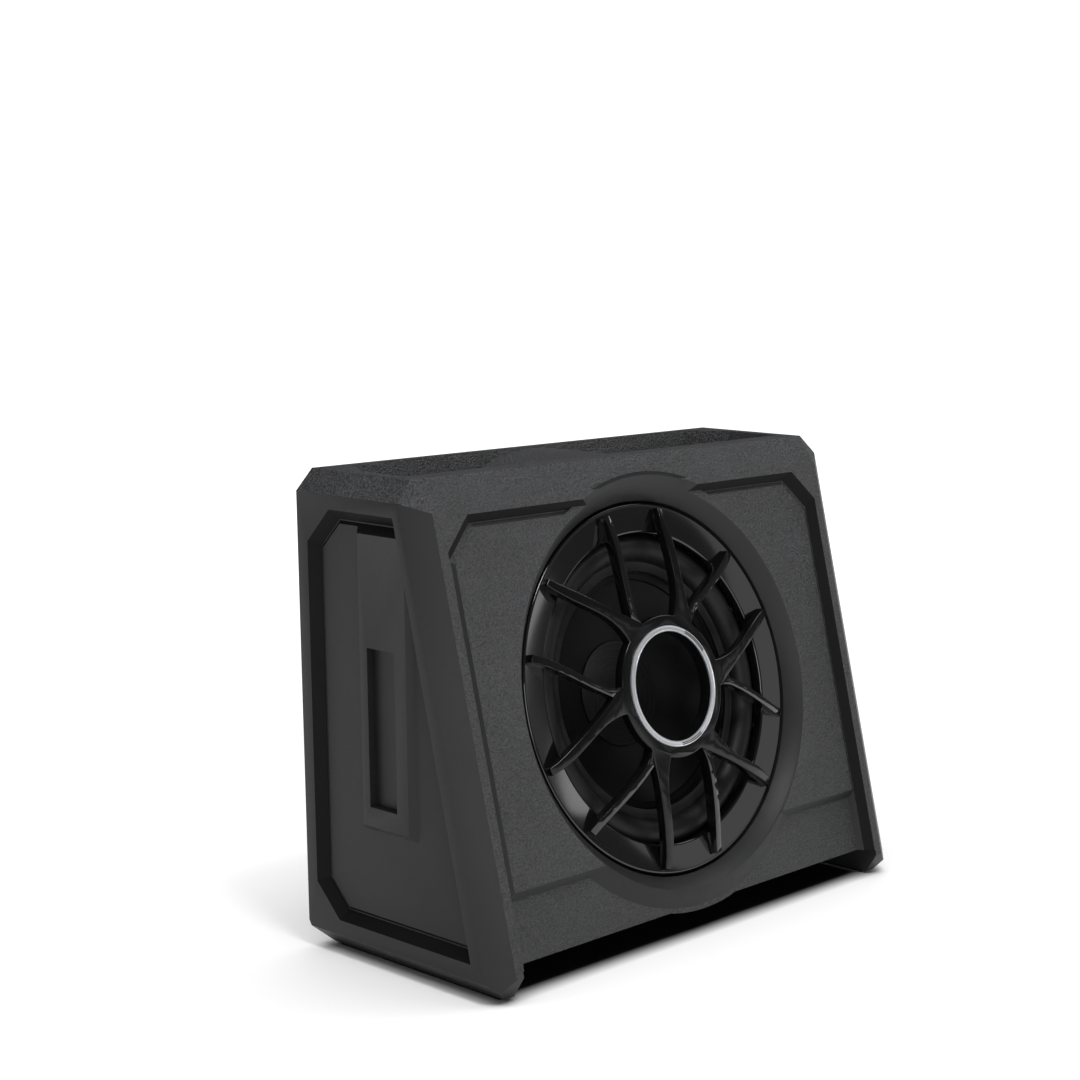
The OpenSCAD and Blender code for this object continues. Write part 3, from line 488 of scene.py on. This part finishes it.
def surround_roll():
    """The half roll and its flange."""
    centre = ROLL_BASE + 1
    inner_r = ROLL_R - ROLL_T
    angles = [math.radians(a) for a in range(ROLL_STEP_DEG, 180, ROLL_STEP_DEG)]
    arch = [(ROLL_MID - ROLL_R * math.cos(a), centre + ROLL_R * math.sin(a)) for a in angles]
    hollow = [(ROLL_MID + inner_r * math.cos(a), centre + inner_r * math.sin(a)) for a in angles]
    lip = [(90, ROLL_FOOT), (90, -32.4), (96.2, -32.6)]
    flange = [(118.0, centre), (EDGE_OUT, centre), (EDGE_OUT, ROLL_BASE - 1.2),
              (ROLL_MID + ROLL_R - ROLL_T, ROLL_BASE - 1.2)]
    turned("surround_roll", lip + arch + flange + hollow + [(98.1, ROLL_FOOT)], "housing", "rubber_black",
           "surround", smooth=50)


def dust_dome():
    """The concave cap in the middle of the cone."""
    edge = cone_rise(CAP_R) + CAP_LIFT
    dish = [(r, edge - CAP_DEPTH * (1 - (r / CAP_R) ** 2)) for r in range(CAP_R, -1, -CAP_STEP)]
    front = [(r, z + CAP_T) for r, z in dish]
    turned("dust_dome", front + dish[::-1], "cone_assembly", "satin_black", "dust_cap", mat=brushed_dish(),
           smooth=50)


def brushed_dish():
    """Spun finish: fine rings round the woofer axis."""
    g = Graph("dish_spun")
    x, y = axis_plane(g)
    flat = g.add("ShaderNodeCombineXYZ", {"X": x, "Y": y}).outputs[0]
    radius = g.vector("LENGTH", flat)["Value"]
    rings = g.add("ShaderNodeTexNoise", {"W": radius, "Scale": 1500.0, "Detail": 2.0},
                  noise_dimensions="1D").outputs["Fac"]
    color = g.mix(rings, (0.0012, 0.0012, 0.0013), (0.003, 0.003, 0.0033))
    return g.set(color=color, rough=g.ramp(rings, 0.3, 0.7, 0.24, 0.42), spec=0.22,
                 normal=g.bump(rings, 0.35, 0.08 * MM))


def woofer():
    cone_face()
    surround_roll()
    dust_dome()


# ---------------------------------------------------------------- hardware
# Nodes that get rounded edges, by the width of the rounding in millimetres.
ROUNDED = (
    (0.5, ("basket",)),
    (0.25, ("driver_screws", "rear_panel_screws", "amp_screws", "power_block_screws")),
    (0.35, ("heatsink",)),
    (0.4, ("power_block", "fuse_holder", "speaker_level_socket", "remote_level_jack", "power_transistors")),
    (0.25, ("gain_knob", "crossover_knob", "bass_boost_knob", "phase_switch", "fuses")),
    (0.3, ("rca_jacks", "rca_insulators", "magnet_boot", "sole_pads", "circuit_board")),
)


def hardware():
    """Rounded skins for the nodes above and the wadding, and materials on the CAD meshes left in view."""
    for width, nodes in ROUNDED:
        for node in nodes:
            refine(node, width)
    refine("acoustic_wadding", 8.0, segments=4)
    for node, obj in NODES.items():
        if not obj.hide_render:
            obj.data.materials.clear()
            obj.data.materials.append(MATS[SLOT_OF[node]])


# ---------------------------------------------------------------- light and floor
WORLD_LIGHT = 0.12
WORLD_SEEN = 1.05
FLOOR_HALF = 9.0
# Distances in metres from the middle, over which the floor turns from lit white to its own light.
GLOW_START = 0.65
GLOW_FULL = 1.8
GLOW_STRENGTH = 1.1
# The painted shadow under the body, in metres: half sizes, and how far its soft edge runs in and out.
SHADOW_SPAN = (("X", 0.212), ("Y", 0.094))
EDGE_IN = 0.016
EDGE_PAST = 0.004
PAINTED_SHADOW_TONE = (0.01, 0.01, 0.01)
NEAR_TONE = (0.78, 0.78, 0.78)
FAR_TONE = (0.25, 0.25, 0.25)


def area(name, loc, target, size, power, size_y):
    data = bpy.data.lights.new(name, "AREA")
    data.shape = "RECTANGLE"
    data.size = size
    data.size_y = size_y
    data.energy = power
    obj = bpy.data.objects.new(name, data)
    obj.location = loc
    obj.rotation_euler = (Vector(target) - Vector(loc)).to_track_quat("-Z", "Y").to_euler()
    bpy.context.scene.collection.objects.link(obj)
    return obj


def surroundings():
    """White to the camera, and dimmer to the object."""
    world = bpy.data.worlds.new("studio")
    world.use_nodes = True
    tree = world.node_tree
    background = tree.nodes["Background"]
    background.inputs["Color"].default_value = (1, 1, 1, 1)
    path = tree.nodes.new("ShaderNodeLightPath")
    level = tree.nodes.new("ShaderNodeMapRange")
    level.inputs["To Min"].default_value = WORLD_LIGHT
    level.inputs["To Max"].default_value = WORLD_SEEN
    tree.links.new(path.outputs["Is Camera Ray"], level.inputs["Value"])
    tree.links.new(level.outputs["Result"], background.inputs["Strength"])
    bpy.context.scene.world = world
    bpy.context.scene.view_settings.view_transform = "Standard"


def floor_white():
    """White floor that glows away from the part, with a painted shadow under it."""
    g = Graph("floor_white")
    reach = g.vector("LENGTH", g.coords)["Value"]
    uneven = g.math("MULTIPLY_ADD", g.noise(2.0), 0.1, reach)
    glow = g.ramp(uneven, GLOW_START, GLOW_FULL, 0.0, 1.0)
    split = g.add("ShaderNodeSeparateXYZ", {"Vector": g.coords})
    away = [g.ramp(g.math("ABSOLUTE", split.outputs[axis]), half - EDGE_IN, half + EDGE_PAST, 0.0, 1.0)
            for axis, half in SHADOW_SPAN]
    unshadowed_floor = g.math("MAXIMUM", *away)
    # Painted shadow: the floor colour turns near-black under the body, with soft edges.
    color = g.mix(unshadowed_floor, PAINTED_SHADOW_TONE, g.mix(glow, NEAR_TONE, FAR_TONE))
    return g.set(color=color, rough=0.9, spec=0.0, glow_color=(1, 1, 1, 1),
                 glow=g.ramp(glow, 0.0, 1.0, 0.0, GLOW_STRENGTH))


def floor():
    mesh = bpy.data.meshes.new("floor")
    s = FLOOR_HALF
    mesh.from_pydata([(-s, -s, 0), (s, -s, 0), (s, s, 0), (-s, s, 0)], [], [(0, 1, 2, 3)])
    mesh.materials.append(floor_white())
    plane = bpy.data.objects.new("floor", mesh)
    bpy.context.scene.collection.objects.link(plane)


def softboxes():
    area("overhead", (-0.2, 0.45, 3.0), (-0.2, 0.45, 0), 4.6, 150, 3.6).visible_glossy = False
    area("key", (-1.2, -2.5, 0.75), (0, -0.05, 0.17), 1.4, 17, 1.0)
    area("side_box", (2.3, 0.1, 0.5), (0.1, -0.05, 0.17), 0.5, 2, 0.4)
    area("ring_glow", (2.108, -1.552, 0.478), (0, -0.09, 0.18), 0.20, 0.14, 0.09)
    area("ring_fill", (1.83, -1.85, 0.61), (0, -0.09, 0.18), 0.62, 0.30, 0.22)
    area("header_box", (1.7, -0.6, 2.0), (0, -0.05, 0.33), 1.0, 10, 1.0)
    area("tray_box", (-0.4, -1.2, 2.4), (0, 0.05, 0.34), 0.6, 24, 0.6)


place_camera()
enclosure()
grille()
woofer()
hardware()
surroundings()
floor()
softboxes()
